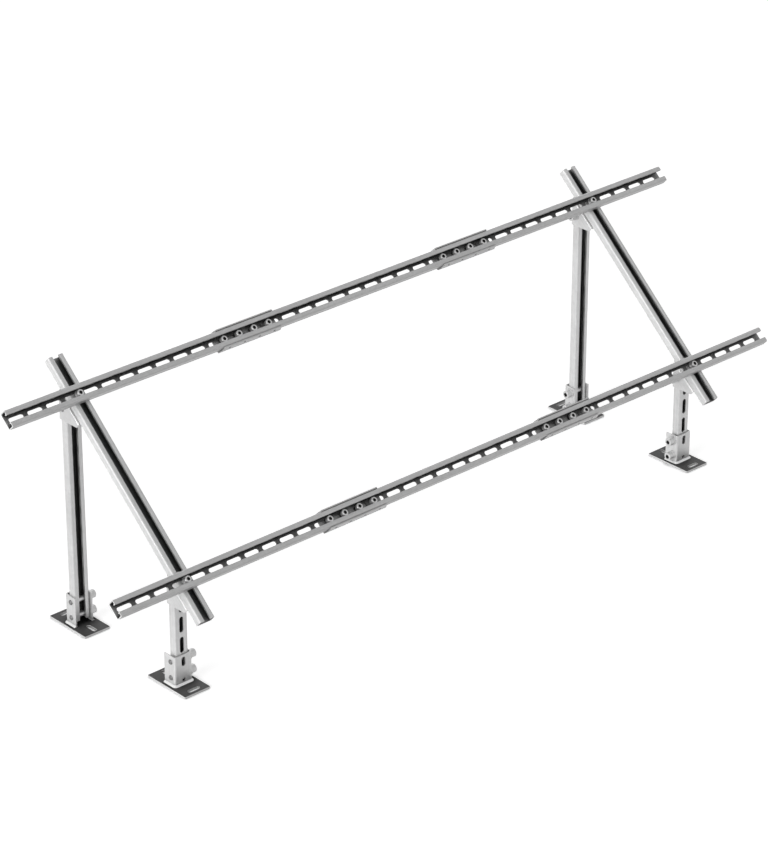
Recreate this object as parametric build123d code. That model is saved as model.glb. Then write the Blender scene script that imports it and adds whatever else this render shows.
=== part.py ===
"""Tilted solar ballast mount made of slotted strut channel, bolted together.

Two end frames stand on ballast feet. Each has a tall rear post, a short front
post and a sloped beam. Two rails, each of three spliced channels, cross them.
X runs along the rails, -Y is the low front side and +Z is up, in millimetres.
"""
from build123d import *
import math
import os

# ---- strut channel: rails, beams and rear posts ----
channel_width = 41.0
channel_depth = 21.0
channel_wall = 2.5
channel_opening = 17.5
channel_bend = 4.0
lip_return = 6.0
lip_round_share = 0.45

# ---- narrow channel: the front posts, which sit between the connector's cheeks ----
narrow_width = 35.0
narrow_opening = 15.0

# ---- slots punched along the webs of rails and posts ----
slot_pitch = 50.0
slot_length = 38.5
slot_width = 11.0
rail_first_slot = 28.5
post_first_slot = 35.5
slot_end_margin = 6.0

# ---- layout ----
rail_piece_length = 664.0
rail_pieces = 3
rail_spacing = 470.0
beam_length = 667.0
beam_overhang = 95.0
tilt_deg = 41.7
front_rail_height = 264.5
left_beam_inset = 196.0
right_beam_inset = 235.0
foot_spacing = 348.0
foot_setback = 33.5

# ---- foot: base plate and welded bracket ----
plate_width = 70.0
plate_length = 128.0
plate_thickness = 5.0
plate_corner = 1.5
plate_slot_length = 32.0
plate_slot_width = 11.0
web_side_slot_offset = 50.0
open_side_slot_offset = 42.5
bracket_wall = 3.0
bracket_bend = 5.0
bracket_depth = 36.0
bracket_height = 72.5
bracket_side_gap = 0.75
bracket_web_slot_length = 23.0
bracket_web_slot_width = 10.5
bracket_web_slot_height = 56.0
bracket_web_hole_diameter = 9.0
bracket_web_hole_height = 11.0
weld_leg = 4.0
post_web_gap_front = 1.0
post_web_gap_rear = 6.4
post_floor_gap = 10.0
cross_bolt_height = 18.5
cross_bolt_pitch = 39.0

# ---- connector between a post and the beam ----
connector_wall = 3.0
connector_bend = 4.0
connector_gap = 0.25
connector_drop = 51.0
connector_reach = 45.0
connector_bolt_height = 27.0
connector_top_bolt_setback = 10.0
post_top_gap = 6.0

# ---- splice ----
splice_length = 180.0
splice_wall = 3.0
splice_bend = 3.5
splice_gap = 0.2
splice_end_slant = 8.0
splice_bolt_pitch = 43.2
splice_side_hole_diameter = 6.0
splice_side_hole_height = 13.0

# ---- sizes of the fasteners ----
rail_thread = 10.0
rail_head_diameter = 16.0
rail_head_height = 10.0
rail_socket = 8.0
rail_nut_flats = 16.0
rail_nut_height = 8.0
rail_washer_diameter = 20.0
rail_washer_thickness = 2.0
cross_thread = 12.0
cross_head_diameter = 20.0
cross_head_height = 14.0
cross_socket = 10.0
cross_nut_diameter = 16.0
cross_bolt_tip = 2.0
press_gap = 0.05
cross_washer_diameter = 24.0
cross_washer_thickness = 2.5
bolt_tip = 2.5
hole_clearance = 1.0
thread_fit = 0.1
channel_nut_length = 20.0
channel_nut_height = 8.0
channel_nut_gap = 1.0
channel_nut_groove = 1.5
channel_nut_corner = 3.0
head_chamfer_share = 0.08
tip_chamfer_share = 0.1

# ---- worked out from the sizes above ----
tilt = math.radians(tilt_deg)
slope = Vector(0, math.cos(tilt), math.sin(tilt))
normal = Vector(0, -math.sin(tilt), math.cos(tilt))
along = Vector(1, 0, 0)
rail_length = rail_pieces * rail_piece_length
left_end = -rail_length / 2
beam_x = {"left": left_end + left_beam_inset, "right": -left_end - right_beam_inset}
inward = {"left": 1, "right": -1}
low_edge = -beam_overhang * math.cos(tilt)
high_edge = foot_setback + foot_spacing + plate_length / 2
y_shift = -(low_edge + high_edge) / 2
front_rail_seat = Vector(0, y_shift, front_rail_height)
foot_y = {"front": y_shift + foot_setback, "rear": y_shift + foot_setback + foot_spacing}
web_side = {"front": -1, "rear": 1}
post_width = {"front": narrow_width, "rear": channel_width}
post_opening = {"front": narrow_opening, "rear": channel_opening}
rail_place = {"front": 0.0, "rear": rail_spacing}
bracket_inner = channel_width + 2 * bracket_side_gap
bracket_outer = bracket_inner + 2 * bracket_wall
post_web_gap = {"front": post_web_gap_front, "rear": post_web_gap_rear}
post_web_offset = {side: bracket_depth / 2 - bracket_wall - gap for side, gap in post_web_gap.items()}
post_base = plate_thickness + post_floor_gap
rail_hole = rail_thread + hole_clearance
cross_hole = cross_thread + hole_clearance
splice_bolts = [(i - 1.5) * splice_bolt_pitch for i in range(4)]


def on_beam(x, up_slope, above):
    """Point above the beam's lip plane, measured from the front rail's centre."""
    return front_rail_seat + along * x + slope * up_slope + normal * above


def underside_height(y):
    """Height of the beam's underside over a place on the Y axis."""
    base = on_beam(0, 0, -channel_depth)
    return base.Z + (y - base.Y) * math.tan(tilt)


def post_face(side):
    """Y of a post's front face."""
    web = foot_y[side] + web_side[side] * post_web_offset[side]
    return web if side == "front" else web - channel_depth


def post_middle(side):
    return post_face(side) + channel_depth / 2


def connector_base(side):
    return underside_height(post_face(side)) - connector_drop


def post_top(side):
    plate_under = underside_height(post_face(side)) - connector_wall / math.cos(tilt)
    return plate_under - post_top_gap


def cross_bolt_heights():
    low = plate_thickness + cross_bolt_height
    return [low, low + cross_bolt_pitch]


# ---- channel stock ----
def channel_profile(width, opening):
    """C section on the XY plane: web along the bottom, open side up."""
    middle = Pos(0, channel_depth / 2)
    outline = middle * RectangleRounded(width, channel_depth, channel_bend)
    inside = RectangleRounded(width - 2 * channel_wall, channel_depth - 2 * channel_wall,
                              channel_bend - channel_wall)
    mouth = Pos(0, channel_depth) * Rectangle(opening, 4 * channel_wall)
    profile = outline - middle * inside - mouth
    edge = Pos((opening + channel_wall) / 2, channel_depth - lip_return / 2)
    lip = edge * RectangleRounded(channel_wall, lip_return, channel_wall * lip_round_share)
    return profile + lip + mirror(lip, Plane.YZ)


def slot_places(length, first_slot):
    """Middle of each slot along a channel."""
    last = length - slot_length / 2 - slot_end_margin
    count = int((last - first_slot) // slot_pitch) + 1
    return [first_slot + i * slot_pitch for i in range(count)]


def channel(width, opening, length, slots=(), drilled=()):
    """Channel along +Z with its web on the XZ plane, punched and drilled at places along it."""
    body = extrude(channel_profile(width, opening), length)
    web = Plane(origin=(0, 0, 0), x_dir=(0, 0, 1), z_dir=(0, 1, 0))
    punch = extrude(web * SlotOverall(slot_length, slot_width), channel_wall * 2, both=True)
    for place in slots:
        body -= Pos(0, 0, place) * punch
    drill = extrude(web * Circle(rail_hole / 2), channel_wall * 2, both=True)
    for place in drilled:
        body -= Pos(0, 0, place) * drill
    return body


def rail_piece(side, index):
    """One channel of a rail, web down on the beams, open side up."""
    start = left_end + index * rail_piece_length
    bolts = [beam_x["left"], beam_x["right"]]
    for joint in range(1, rail_pieces):
        bolts += [left_end + joint * rail_piece_length + x for x in splice_bolts]
    drilled = [x - start for x in bolts if 0 < x - start < rail_piece_length]
    place = Plane(origin=on_beam(start, rail_place[side], 0), x_dir=slope, z_dir=along)
    slots = slot_places(rail_piece_length, rail_first_slot)
    piece = channel(channel_width, channel_opening, rail_piece_length, slots, drilled)
    return place.location * piece


def beam(hand):
    """Sloped channel with a plain web and its open side up, from its upper end down."""
    top = beam_length - beam_overhang
    drilled = [top - connector_bolt_slope(side) for side in foot_y]
    place = Plane(origin=on_beam(beam_x[hand], top, -channel_depth), x_dir=along, z_dir=-slope)
    piece = channel(channel_width, channel_opening, beam_length, drilled=drilled)
    return place.location * piece


def post(hand, side):
    """Upright channel in its foot: web to the front on front posts, to the rear on rear posts."""
    web = foot_y[side] + web_side[side] * post_web_offset[side]
    length = post_top(side) - post_base
    piece = channel(post_width[side], post_opening[side], length, slot_places(length, post_first_slot))
    across = Plane(origin=(0, channel_depth / 2, 0), x_dir=(0, 1, 0), z_dir=(1, 0, 0))
    drill = extrude(across * Circle(cross_hole / 2), channel_width, both=True)
    heights = cross_bolt_heights() + [connector_base(side) + connector_bolt_height]
    for height in heights:
        piece -= Pos(0, 0, height - post_base) * drill
    place = Plane(origin=(beam_x[hand], web, post_base), x_dir=(-web_side[side], 0, 0),
                  z_dir=(0, 0, 1))
    return place.location * piece


# ---- foot ----
def foot_place(hand, side):
    """Foot frame: its own -Y is the side of the bracket's web."""
    return Plane(origin=(beam_x[hand], foot_y[side], 0), x_dir=(-web_side[side], 0, 0),
                 z_dir=(0, 0, 1)).location


def foot_plate(hand, side):
    outline = RectangleRounded(plate_width, plate_length, plate_corner)
    slot = SlotOverall(plate_slot_length, plate_slot_width)
    outline -= Pos(0, -web_side_slot_offset) * slot
    outline -= Pos(0, open_side_slot_offset) * Rot(0, 0, 90) * slot
    return foot_place(hand, side) * extrude(outline, plate_thickness)


def foot_bracket(hand, side):
    """U bracket with its weld bead: web at -Y, cheeks at both sides, open at +Y."""
    # The outline is drawn past the open side and cut back, so only the web's corners are round.
    full = bracket_depth + 2 * bracket_bend
    outer = Pos(0, bracket_bend) * RectangleRounded(bracket_outer, full, bracket_bend)
    inner = Pos(0, bracket_bend + bracket_wall) * RectangleRounded(
        bracket_inner, full, bracket_bend - bracket_wall)
    keep = Rectangle(bracket_outer + 4 * weld_leg, bracket_depth)
    body = extrude((outer - inner) & keep, bracket_height)
    bead_outline = offset(outer, weld_leg)
    bead = extrude(bead_outline, weld_leg, taper=45) - extrude(inner, weld_leg)
    room = Box(bracket_outer + 4 * weld_leg, bracket_depth + weld_leg, 2 * weld_leg)
    body += bead & Pos(0, -weld_leg / 2, 0) * room
    cheek_middle = channel_depth / 2 - post_web_offset[side]
    outer_side = inward[hand] * web_side[side]
    hole = Rot(0, 90, 0) * Cylinder(cross_hole / 2, 2 * bracket_outer)
    seat = Rot(0, 90, 0) * Cylinder(cross_nut_diameter / 2 + press_gap, bracket_outer)
    for height in cross_bolt_heights():
        middle = Pos(0, cheek_middle, height - plate_thickness)
        body -= middle * hole
        body -= middle * Pos(outer_side * bracket_outer / 2, 0, 0) * seat
    web = Plane(origin=(0, -bracket_depth / 2, 0), x_dir=(0, 0, 1), z_dir=(0, 1, 0))
    slot = extrude(web * SlotOverall(bracket_web_slot_length, bracket_web_slot_width),
                   2 * bracket_wall, both=True)
    hole = extrude(web * Circle(bracket_web_hole_diameter / 2), 2 * bracket_wall, both=True)
    body -= Pos(0, 0, bracket_web_slot_height) * slot
    body -= Pos(0, 0, bracket_web_hole_height) * hole
    return foot_place(hand, side) * Pos(0, 0, plate_thickness) * body


# ---- connector ----
def connector_bolt_slope(side):
    """Place up the slope of the bolt that holds a connector to its beam."""
    base = on_beam(0, 0, -channel_depth)
    return (post_face(side) + connector_top_bolt_setback - base.Y) / math.cos(tilt)


def connector(hand, side):
    """Bent cheeks that hang from the beam's underside and hold the post between them."""
    inner = post_width[side] + 2 * connector_gap
    outer = inner + 2 * connector_wall
    depth = 2 * connector_drop
    # Drawn long and cut back, so only the corners at the beam are round.
    shell = Pos(0, -depth / 2) * RectangleRounded(outer, depth, connector_bend)
    hollow = Pos(0, -depth / 2 - connector_wall) * RectangleRounded(
        inner, depth, connector_bend - connector_wall)
    low = (post_face(side) - connector_reach - y_shift) / math.cos(tilt) - channel_depth
    length = 4 * connector_drop
    start = on_beam(beam_x[hand], low + length, -channel_depth)
    place = Plane(origin=start, x_dir=along, z_dir=-slope)
    body = place.location * extrude(shell - hollow, length)
    front = post_face(side) - connector_reach
    back = post_face(side) + channel_depth
    bottom = connector_base(side)
    room = Pos(beam_x[hand], (front + back) / 2, bottom + depth) * Box(
        2 * outer, back - front, 2 * depth)
    body &= room
    across = Rot(0, 90, 0) * Cylinder(cross_hole / 2, 2 * outer)
    seat = Rot(0, 90, 0) * Cylinder(cross_nut_diameter / 2 + press_gap, outer)
    pivot = Pos(beam_x[hand], post_middle(side), bottom + connector_bolt_height)
    body -= pivot * across
    body -= pivot * Pos(-inward[hand] * outer / 2, 0, 0) * seat
    top = Plane(origin=on_beam(beam_x[hand], connector_bolt_slope(side), -channel_depth),
                x_dir=along, z_dir=normal)
    body -= top.location * Cylinder(rail_hole / 2, 4 * connector_wall)
    return body


# ---- splice ----
def splice_x(index):
    return left_end + index * rail_piece_length


def splice(side, index):
    """U sleeve under a rail joint, its flanges up both side walls with slanted ends."""
    inner = channel_width + 2 * splice_gap
    outer = inner + 2 * splice_wall
    height = channel_depth + splice_wall
    full = height + 2 * splice_bend
    shell = Pos(0, full / 2 - splice_wall) * RectangleRounded(outer, full, splice_bend)
    hollow = Pos(0, full / 2) * RectangleRounded(inner, full, splice_bend - splice_wall)
    keep = Pos(0, height / 2 - splice_wall) * Rectangle(2 * outer, height)
    place = Plane(origin=on_beam(splice_x(index) - splice_length / 2, rail_place[side], 0),
                  x_dir=slope, z_dir=along)
    body = extrude((shell - hollow) & keep, splice_length)
    rise = channel_depth
    slant = Plane.YZ * Polyline((rise, 0), (rise, splice_end_slant), (0, 0), close=True)
    wedge = extrude(make_face(slant), outer, both=True)
    body -= wedge
    body -= Pos(0, 0, splice_length) * mirror(wedge, Plane.XY)
    web = Plane(origin=(0, 0, 0), x_dir=(0, 0, 1), z_dir=(0, 1, 0))
    drill = extrude(web * Circle(rail_hole / 2), 2 * splice_wall, both=True)
    wall = Plane(origin=(-outer / 2, splice_side_hole_height, 0), x_dir=(0, 0, 1), z_dir=(1, 0, 0))
    side_drill = extrude(wall * Circle(splice_side_hole_diameter / 2), 2 * splice_wall, both=True)
    for place_x in splice_bolts:
        body -= Pos(0, 0, splice_length / 2 + place_x) * drill
        body -= Pos(0, 0, splice_length / 2 + place_x) * side_drill
    return place.location * body


# ---- fasteners ----
def cap_screw(thread, head_diameter, head_height, socket, length):
    """Socket head screw: head above the XY plane, shank below it."""
    head = Pos(0, 0, head_height / 2) * Cylinder(head_diameter / 2, head_height)
    rim = head.edges().filter_by(GeomType.CIRCLE).sort_by(Axis.Z)[-1]
    head = chamfer(rim, thread * head_chamfer_share)
    pocket = Pos(0, 0, head_height / 2) * extrude(
        RegularPolygon(socket / 2, 6, major_radius=False), head_height)
    shank = Pos(0, 0, -length / 2) * Cylinder(thread / 2, length)
    tip = shank.edges().filter_by(GeomType.CIRCLE).sort_by(Axis.Z)[0]
    shank = chamfer(tip, thread * tip_chamfer_share)
    return head - pocket + shank


def hex_nut(flats, height, thread):
    """Nut that hangs below the XY plane."""
    body = extrude(RegularPolygon(flats / 2, 6, major_radius=False), -height)
    return body - Cylinder(thread / 2 + thread_fit, 4 * height)


def press_nut(diameter, thickness, thread):
    """Round nut pressed into a cheek, flush with the XY plane and below it."""
    ring = Circle(diameter / 2) - Circle(thread / 2 + thread_fit)
    return extrude(ring, -thickness)


def washer(diameter, thickness, thread):
    """Washer that stands on the XY plane."""
    ring = Circle(diameter / 2) - Circle(thread / 2 + hole_clearance / 2)
    return extrude(ring, thickness)


def channel_nut():
    """Long nut that grips the lips from inside; its top grooves take the lip edges."""
    width = channel_width - 2 * channel_wall - 2 * channel_nut_gap
    body = Pos(0, 0, -channel_nut_height / 2) * Box(width, channel_nut_length, channel_nut_height)
    body = fillet(body.edges().filter_by(Axis.Z), channel_nut_corner)
    groove = Box(channel_wall + channel_nut_gap, 2 * channel_nut_length, 2 * channel_nut_groove)
    offset_x = (channel_opening + channel_wall) / 2
    body -= Pos(offset_x, 0, 0) * groove
    body -= Pos(-offset_x, 0, 0) * groove
    return body - Cylinder(rail_thread / 2 + thread_fit, 4 * channel_nut_height)


def turned(point, direction, part):
    """Part moved so that its own +Z points along a direction."""
    side = slope if abs(direction.dot(along)) > 0.5 else along
    return Plane(origin=point, x_dir=side, z_dir=direction).location * part


def group(parts):
    return Compound(children=list(parts))


def rail_fasteners():
    """Bolt, washer and channel nut at each crossing of rail and beam."""
    nut_top = -lip_return + channel_nut_groove
    grip = channel_wall + rail_washer_thickness
    length = grip - nut_top + channel_nut_height
    bolts, washers, nuts = [], [], []
    for x in beam_x.values():
        for up in rail_place.values():
            seat = on_beam(x, up, channel_wall)
            head = seat + normal * rail_washer_thickness
            screw = cap_screw(rail_thread, rail_head_diameter, rail_head_height, rail_socket, length)
            bolts.append(turned(head, normal, screw))
            ring = washer(rail_washer_diameter, rail_washer_thickness, rail_thread)
            washers.append(turned(seat, normal, ring))
            nuts.append(turned(on_beam(x, up, nut_top), normal, channel_nut()))
    return bolts, washers, nuts


def splice_fasteners(side):
    """Four bolts through each joint of a rail: heads inside the rail, nuts below the sleeve."""
    under = rail_washer_thickness + rail_nut_height + bolt_tip
    length = channel_wall + splice_wall + under
    bolts, washers, nuts = [], [], []
    for joint in range(1, rail_pieces):
        for place_x in splice_bolts:
            x = splice_x(joint) + place_x
            screw = cap_screw(rail_thread, rail_head_diameter, rail_head_height, rail_socket, length)
            bolts.append(turned(on_beam(x, rail_place[side], channel_wall), normal, screw))
            below = on_beam(x, rail_place[side], -splice_wall)
            ring = washer(rail_washer_diameter, rail_washer_thickness, rail_thread)
            washers.append(turned(below - normal * rail_washer_thickness, normal, ring))
            nut = hex_nut(rail_nut_flats, rail_nut_height, rail_thread)
            nuts.append(turned(below - normal * rail_washer_thickness, normal, nut))
    return bolts, washers, nuts


def cross_fasteners(hand, outer, wall, y, heights):
    """Screws across two cheeks: heads on the mount's inner side, press nuts in the outer cheek."""
    head_way = along * inward[hand]
    length = outer + cross_washer_thickness + cross_bolt_tip
    bolts, washers, nuts = [], [], []
    for height in heights:
        centre = Vector(beam_x[hand], y, height)
        near = centre + head_way * (outer / 2)
        far = centre - head_way * (outer / 2)
        screw = cap_screw(cross_thread, cross_head_diameter, cross_head_height, cross_socket, length)
        bolts.append(turned(near + head_way * cross_washer_thickness, head_way, screw))
        ring = washer(cross_washer_diameter, cross_washer_thickness, cross_thread)
        washers.append(turned(near, head_way, ring))
        nut = press_nut(cross_nut_diameter, wall, cross_thread)
        nuts.append(turned(far, -head_way, nut))
    return bolts, washers, nuts


def connector_top_fasteners():
    """Screw from inside each beam down through its connector's top, with a nut below."""
    length = channel_wall + connector_wall + rail_nut_height + bolt_tip
    bolts, nuts = [], []
    for x in beam_x.values():
        for side in foot_y:
            up = connector_bolt_slope(side)
            screw = cap_screw(rail_thread, rail_head_diameter, rail_head_height, rail_socket, length)
            bolts.append(turned(on_beam(x, up, channel_wall - channel_depth), normal, screw))
            nut = hex_nut(rail_nut_flats, rail_nut_height, rail_thread)
            nuts.append(turned(on_beam(x, up, -channel_depth - connector_wall), normal, nut))
    return bolts, nuts


def build():
    """Every node of the mount by name."""
    nodes = {}
    names = ["left", "middle", "right"]
    for side in foot_y:
        for index in range(rail_pieces):
            nodes[f"{side}_rail_{names[index]}"] = rail_piece(side, index)
        for joint, hand in ((1, "left"), (rail_pieces - 1, "right")):
            nodes[f"{side}_splice_{hand}"] = splice(side, joint)
        bolts, washers, nuts = splice_fasteners(side)
        nodes[f"{side}_splice_bolts"] = group(bolts)
        nodes[f"{side}_splice_washers"] = group(washers)
        nodes[f"{side}_splice_nuts"] = group(nuts)
    pivots = ([], [], [])
    for hand in beam_x:
        nodes[f"{hand}_beam"] = beam(hand)
        for side in foot_y:
            name = f"{hand}_{side}"
            nodes[f"{name}_post"] = post(hand, side)
            nodes[f"{name}_foot_plate"] = foot_plate(hand, side)
            nodes[f"{name}_foot_bracket"] = foot_bracket(hand, side)
            nodes[f"{name}_connector"] = connector(hand, side)
            middle = post_middle(side)
            fixed = cross_fasteners(hand, bracket_outer, bracket_wall, middle, cross_bolt_heights())
            for kind, parts in zip(("bolts", "washers", "nuts"), fixed):
                nodes[f"{name}_foot_{kind}"] = group(parts)
            outer = post_width[side] + 2 * connector_gap + 2 * connector_wall
            height = connector_base(side) + connector_bolt_height
            pivot = cross_fasteners(hand, outer, connector_wall, middle, [height])
            for store, parts in zip(pivots, pivot):
                store.extend(parts)
    for kind, parts in zip(("bolts", "washers", "nuts"), pivots):
        nodes[f"connector_cross_{kind}"] = group(parts)
    for kind, parts in zip(("bolts", "nuts"), connector_top_fasteners()):
        nodes[f"connector_top_{kind}"] = group(parts)
    for kind, parts in zip(("bolts", "washers", "channel_nuts"), rail_fasteners()):
        nodes[f"rail_{kind}"] = group(parts)
    return nodes


os.makedirs("parts", exist_ok=True)
for node, shape in build().items():
    export_step(shape, f"parts/{node}.step")
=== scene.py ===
"""Looks of the tilted solar ballast mount: zinc-coated steel on a plain pale floor."""
import math

import bpy
from mathutils import Matrix, Vector


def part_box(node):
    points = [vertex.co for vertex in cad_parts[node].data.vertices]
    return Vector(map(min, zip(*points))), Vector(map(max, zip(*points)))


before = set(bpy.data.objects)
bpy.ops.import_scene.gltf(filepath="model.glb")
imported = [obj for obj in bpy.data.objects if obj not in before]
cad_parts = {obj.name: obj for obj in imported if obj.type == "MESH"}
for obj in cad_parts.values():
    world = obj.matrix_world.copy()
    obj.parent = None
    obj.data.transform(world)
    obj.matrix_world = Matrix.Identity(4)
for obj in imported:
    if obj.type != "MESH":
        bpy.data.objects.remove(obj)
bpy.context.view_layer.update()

# ---- camera: in front, to the left and above; the sensor spans the height of the upright image ----
sensor = 36.0
lens = 149.3161
camera_reach = 100
camera_azimuth = math.radians(42.23)
camera_elevation = math.radians(26.85)
camera_place = Vector((-4.9224, -5.3555, 3.9673))


def make_camera():
    """Camera that looks towards +X and +Y, and down."""
    right = Vector((math.cos(camera_azimuth), -math.sin(camera_azimuth), 0))
    level = Vector((math.sin(camera_azimuth), math.cos(camera_azimuth), 0))
    forward = level * math.cos(camera_elevation) - Vector((0, 0, math.sin(camera_elevation)))
    up = right.cross(forward)
    data = bpy.data.cameras.new("camera")
    data.sensor_width = sensor
    data.lens = lens
    data.clip_end = camera_reach
    camera = bpy.data.objects.new("camera", data)
    turn = Matrix((right, up, -forward)).transposed().to_4x4()
    camera.matrix_world = Matrix.Translation(camera_place) @ turn
    bpy.context.scene.collection.objects.link(camera)
    bpy.context.scene.camera = camera


make_camera()


# ---- short calls for node trees ----
class Nodes:
    """The node tree of a material or a world."""

    def __init__(self, owner):
        owner.use_nodes = True
        self.tree = owner.node_tree

    def add(self, kind, **settings):
        """New node; a setting that starts with in_ fills the input of that name."""
        node = self.tree.nodes.new(kind)
        for key, value in settings.items():
            if key.startswith("in_"):
                node.inputs[key[3:].replace("_", " ")].default_value = value
            else:
                setattr(node, key, value)
        return node

    def join(self, source, target):
        """Links an output to an input."""
        self.tree.links.new(source, target)

    def on(self, vector, kind, output, **settings):
        """Output of a new node that works on a vector."""
        node = self.add(kind, **settings)
        self.join(vector, node.inputs["Vector"])
        return node.outputs[output]

    def spread(self, source, low, high, start=0.0, end=1.0):
        """Maps a value from start..end to low..high."""
        node = self.add("ShaderNodeMapRange", in_From_Min=start, in_From_Max=end,
                        in_To_Min=low, in_To_Max=high)
        self.join(source, node.inputs["Value"])
        return node.outputs["Result"]

    def math(self, operation, *values):
        """Result of a calculation with outputs and plain numbers."""
        node = self.add("ShaderNodeMath", operation=operation)
        for socket, value in zip(node.inputs, values):
            if isinstance(value, (int, float)):
                socket.default_value = value
            else:
                self.join(value, socket)
        return node.outputs["Value"]

    def axis(self, vector, letter):
        """The X, Y or Z of a vector."""
        return self.on(vector, "ShaderNodeSeparateXYZ", letter)

    def facing(self, letter):
        """How squarely the surface faces along X, Y or Z, either way: 1 square on, 0 side on."""
        normal = self.add("ShaderNodeNewGeometry").outputs["Normal"]
        return self.math("ABSOLUTE", self.axis(normal, letter))

    def open_share(self, reach, alone=True):
        """How open the surface is within a reach: 0 deep in a hollow, 1 on a free face.

        Alone, only the piece itself counts, and otherwise what stands near it does too.
        """
        node = self.add("ShaderNodeAmbientOcclusion", samples=6, only_local=alone, in_Distance=reach)
        return node.outputs["AO"]

    def seen(self):
        """1 for rays from the camera and from reflections, 0 for rays that only carry light."""
        ray = self.add("ShaderNodeLightPath")
        return self.math("MAXIMUM", ray.outputs["Is Camera Ray"], ray.outputs["Is Glossy Ray"])


# ---- zinc coat: how its lines run, how often its textures repeat per metre, how strongly they show ----
tilt = math.radians(41.7)
flat_along_x = (0.0, 0.0, 0.0)
upright = (0.0, math.radians(90), 0.0)
sloping = (-tilt, 0.0, math.radians(-90))

line_scales = (1.5, 420.0, 420.0)
crystal_scale = 130.0
cloud_scale = 14.0
noise_middle = (0.3, 0.7)
# open shares over which the painted hollow shade fades out
open_middle = (0.45, 0.95)
crystal_tone = 0.05
cloud_tone = 0.05
crystal_roughness = 0.05
cloud_roughness = 0.06
relief_strength = 0.12
relief_depth = 0.0004


def zinc(name, grey, lines_along=flat_along_x, roughness=0.42, metallic=0.55, streak=0.07,
         hollow=0.4, hollow_reach=0.03, alone=True, specular=0.5, finish_and_shade=None):
    """Zinc-coated steel: crystals, rolling lines along the piece, cloudy patches, and painted shade in its
    hollows.

    A last step changes the tone and the relief of one kind of piece: real marks such as welds and threads,
    and on the plate painted light and shade.
    """
    material = bpy.data.materials.new(name)
    shader = Nodes(material)
    surface = shader.tree.nodes["Principled BSDF"]
    place = shader.add("ShaderNodeTexCoord").outputs["Object"]
    turned = shader.on(place, "ShaderNodeMapping", "Vector", in_Rotation=lines_along)
    stretched = shader.on(turned, "ShaderNodeMapping", "Vector", in_Scale=line_scales)
    lines = shader.on(stretched, "ShaderNodeTexNoise", "Fac", in_Scale=1.0, in_Detail=3.0)
    cloud = shader.on(place, "ShaderNodeTexNoise", "Fac", in_Scale=cloud_scale, in_Detail=4.0)
    crystals = shader.add("ShaderNodeRGBToBW")
    shader.join(shader.on(place, "ShaderNodeTexVoronoi", "Color", in_Scale=crystal_scale),
                crystals.inputs["Color"])
    grain = crystals.outputs["Val"]

    tone = shader.math("ADD", shader.spread(lines, 1 - streak, 1 + streak, *noise_middle),
                       shader.spread(grain, -crystal_tone, crystal_tone))
    tone = shader.math("ADD", tone, shader.spread(cloud, -cloud_tone, cloud_tone, *noise_middle))
    # painted shade: the tone darkens where the piece is closed in, most deep in a hollow
    open_share = shader.open_share(hollow_reach, alone)
    tone = shader.math("MULTIPLY", tone, shader.spread(open_share, hollow, 1.0, *open_middle))
    relief = lines
    if finish_and_shade:
        tone, relief = finish_and_shade(shader, place, tone, relief)
    colour = shader.add("ShaderNodeVectorMath", operation="SCALE")
    colour.inputs[0].default_value = (grey, grey, grey)
    shader.join(tone, colour.inputs["Scale"])
    shader.join(colour.outputs["Vector"], surface.inputs["Base Color"])

    rough = shader.math("ADD", shader.spread(grain, -crystal_roughness, crystal_roughness),
                        shader.spread(cloud, roughness - cloud_roughness, roughness + cloud_roughness,
                                      *noise_middle))
    shader.join(rough, surface.inputs["Roughness"])
    bump = shader.add("ShaderNodeBump", in_Strength=relief_strength, in_Distance=relief_depth)
    shader.join(relief, bump.inputs["Height"])
    shader.join(bump.outputs["Normal"], surface.inputs["Normal"])
    surface.inputs["Metallic"].default_value = metallic
    surface.inputs["Specular IOR Level"].default_value = specular
    return material


# ---- finishes and painted light and shade of single kinds of piece; a relief is in shares of relief_depth ----
weld_height = 0.0042
weld_gain = 0.4
ripple_scale = 400.0
ripple_height = 4.0
# painted light and shade on the plate: its face stays dark and its edges are lifted by this gain, for how
# light falls on them
painted_edge_gain = 5.6
edge_to_face = (0.3, 0.7)
# painted shade on the plate's face near what stands on it
shade_reach = 0.03
deepest_shade = 0.15
cut_end_gain = 1.45
side_to_end = (0.6, 0.9)
thread_pitch = 0.00175
tip_tone = 0.3


def weld_bead(shader, place, tone, relief):
    """Lighter, rippled metal on the bead round a bracket's foot."""
    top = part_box("left_front_foot_bracket")[0][2] + weld_height
    bead = shader.math("LESS_THAN", shader.axis(place, "Z"), top)
    ripples = shader.on(place, "ShaderNodeTexVoronoi", "Distance", in_Scale=ripple_scale)
    swell = shader.math("MULTIPLY", ripples, ripple_height)
    tone = shader.math("ADD", tone, shader.math("MULTIPLY", bead, weld_gain))
    return tone, shader.math("ADD", relief, shader.math("MULTIPLY", bead, swell))


def painted_plate_shade(shader, place, tone, relief):
    """Painted light and shade on a flat plate: a dark face and light edges by how they face, and painted
    shade near what stands on it.
    """
    face = shader.spread(shader.facing("Z"), 0.0, 1.0, *edge_to_face)
    open_share = shader.open_share(shade_reach, alone=False)
    shade = shader.spread(open_share, deepest_shade - 1, 0.0, *open_middle)
    edge = shader.spread(face, painted_edge_gain, 1.0)
    gain = shader.math("ADD", edge, shader.math("MULTIPLY", face, shade))
    return shader.math("MULTIPLY", tone, gain), relief


def cut_ends(shader, place, tone, relief):
    """Bright sawn ends on a piece that lies along X."""
    gain = shader.spread(shader.facing("X"), 1.0, cut_end_gain, *side_to_end)
    return shader.math("MULTIPLY", tone, gain), relief


def beyond(shader, across, left, right):
    """1 where a place on X is further out than a limit on the left or on the right."""
    return shader.math("ADD", shader.math("LESS_THAN", across, left),
                       shader.math("GREATER_THAN", across, right))


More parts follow.
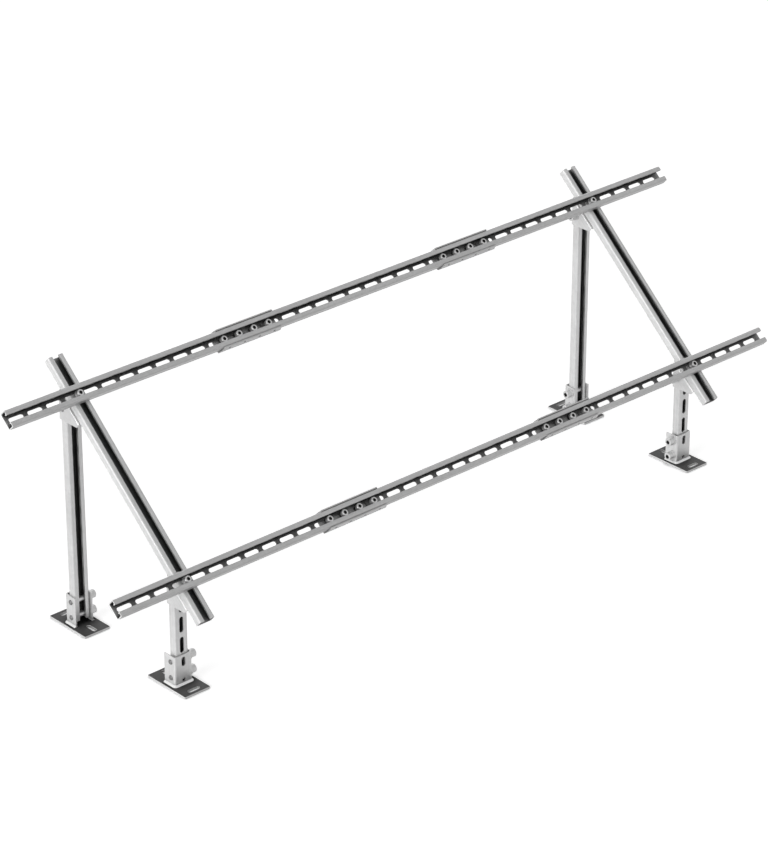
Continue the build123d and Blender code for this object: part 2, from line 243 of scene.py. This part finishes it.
def cross_thread(shader, place, tone, relief):
    """Thread on the cross screws from the washer under the head outwards, and darker ends beyond the nuts.
    """
    across = shader.axis(place, "X")
    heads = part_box("left_front_foot_washers")[0][0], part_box("right_front_foot_washers")[1][0]
    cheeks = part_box("left_front_foot_nuts")[0][0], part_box("right_front_foot_nuts")[1][0]
    shank = beyond(shader, across, *heads)
    tip = beyond(shader, across, *cheeks)
    turns = shader.math("SINE", shader.math("MULTIPLY", across, 2 * math.pi / thread_pitch))
    relief = shader.math("ADD", relief, shader.math("MULTIPLY", shank, turns))
    return shader.math("MULTIPLY", tone, shader.spread(tip, 1.0, tip_tone)), relief


light_zinc = 0.62
beam_zinc = 0.67
rail_zinc = 0.52
# the plate's grey is its face darkened as painted shade; its edges are lifted by the edge gain
plate_face_shade_grey = 0.12
bolt_grey = 0.62

# each look's hollow setting is how dark its painted hollow shade gets
looks = {
    "rail": zinc("zinc_rail", rail_zinc, metallic=0.3, hollow=0.03, finish_and_shade=cut_ends),
    "beam": zinc("zinc_beam", beam_zinc, sloping, metallic=0.15, hollow=0.10),
    "post": zinc("zinc_post", light_zinc, upright, hollow=0.10),
    "bracket": zinc("zinc_bracket", light_zinc, upright, roughness=0.45, hollow=0.15, finish_and_shade=weld_bead),
    "connector": zinc("zinc_connector", light_zinc, sloping, roughness=0.45, hollow=0.2),
    "plate": zinc("zinc_plate", plate_face_shade_grey, metallic=0.2, hollow=0.3, specular=0.0, finish_and_shade=painted_plate_shade),
    "splice": zinc("zinc_splice", rail_zinc, metallic=0.3, hollow=0.1, hollow_reach=0.02, alone=False),
    "cross": zinc("zinc_cross_bolt", bolt_grey, roughness=0.35, streak=0.03, hollow=0.1, hollow_reach=0.01,
                  finish_and_shade=cross_thread),
    "bolt": zinc("zinc_bolt", bolt_grey, roughness=0.35, streak=0.03, hollow=0.1, hollow_reach=0.01),
    "nut": zinc("zinc_nut", light_zinc, roughness=0.38, streak=0.03),
    "washer": zinc("zinc_washer", light_zinc, roughness=0.35, streak=0.03),
}

# the first ending that fits a node's name counts
kinds_by_ending = {
    "foot_bolts": "cross",
    "cross_bolts": "cross",
    "bolts": "bolt",
    "nuts": "nut",
    "washers": "washer",
    "_post": "post",
    "_beam": "beam",
    "_plate": "plate",
    "_bracket": "bracket",
    "_connector": "connector",
}


def kind_of(name):
    """Kind of look that a node takes, from its name."""
    for ending, kind in kinds_by_ending.items():
        if name.endswith(ending):
            return kind
    return "splice" if "_splice_" in name else "rail"


for name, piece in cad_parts.items():
    piece.data.materials.clear()
    piece.data.materials.append(looks[kind_of(name)])


# ---- floor, sky and suns ----
floor_size = 40
floor_grey = 0.86
floor_roughness = 0.9
floor_glow = 0.62
covered_reach = 0.02
covered_to_free = (0.5, 0.9)

# a patch of sky: its direction, the cosines at which it starts and is full, and its glow
dim_sky = 0.10
high_in_front = ((0.60, -0.37, 0.71), 0.45, 0.95, 0.45)
low_on_the_left = ((-0.94, 0.17, 0.30), 0.35, 0.90, 0.40)


def make_floor():
    """White floor that keeps soft shadows, and whose glow fades to painted shade where a plate covers it.
    """
    bpy.ops.mesh.primitive_plane_add(size=floor_size)
    floor = bpy.context.object
    floor.name = "floor"
    material = bpy.data.materials.new("floor")
    shader = Nodes(material)
    surface = shader.tree.nodes["Principled BSDF"]
    surface.inputs["Base Color"].default_value = (floor_grey, floor_grey, floor_grey, 1)
    surface.inputs["Roughness"].default_value = floor_roughness
    surface.inputs["Specular IOR Level"].default_value = 0.0
    # painted shade: the glow fades near anything that covers the floor
    near = shader.add("ShaderNodeAmbientOcclusion", samples=8, in_Distance=covered_reach)
    free = shader.spread(near.outputs["AO"], 0.0, floor_glow, *covered_to_free)
    glow = shader.add("ShaderNodeEmission")
    shader.join(shader.math("MULTIPLY", shader.seen(), free), glow.inputs["Strength"])
    both = shader.add("ShaderNodeAddShader")
    shader.join(surface.outputs["BSDF"], both.inputs[0])
    shader.join(glow.outputs["Emission"], both.inputs[1])
    shader.join(both.outputs["Shader"], shader.tree.nodes["Material Output"].inputs["Surface"])
    floor.data.materials.append(material)


def make_world():
    """Sky that is white to the camera and in reflections, and lights dimly, with two brighter patches."""
    world = bpy.data.worlds.new("studio")
    bpy.context.scene.world = world
    sky = Nodes(world)
    place = sky.add("ShaderNodeTexCoord").outputs["Generated"]
    strength = dim_sky
    for axis, start, full, glow in (high_in_front, low_on_the_left):
        toward = sky.add("ShaderNodeVectorMath", operation="DOT_PRODUCT")
        sky.join(place, toward.inputs[0])
        toward.inputs[1].default_value = axis
        strength = sky.math("ADD", sky.spread(toward.outputs["Value"], 0.0, glow, start, full), strength)
    strength = sky.math("MAXIMUM", strength, sky.seen())
    sky.join(strength, sky.tree.nodes["Background"].inputs["Strength"])
    sky.tree.nodes["Background"].inputs["Color"].default_value = (1, 1, 1, 1)


def make_sun(name, toward, degrees_wide, strength):
    """Broad soft light that comes from a direction."""
    data = bpy.data.lights.new(name, "SUN")
    data.angle = math.radians(degrees_wide)
    data.energy = strength
    sun = bpy.data.objects.new(name, data)
    sun.rotation_euler = Vector(toward).to_track_quat("Z", "Y").to_euler()
    bpy.context.scene.collection.objects.link(sun)


make_floor()
make_world()
make_sun("key", toward=(-1.0, -0.1, 0.18), degrees_wide=40, strength=2.6)
make_sun("back", toward=(0.7, 0.7, 0.5), degrees_wide=40, strength=0.3)
bpy.context.scene.view_settings.view_transform = "Standard"
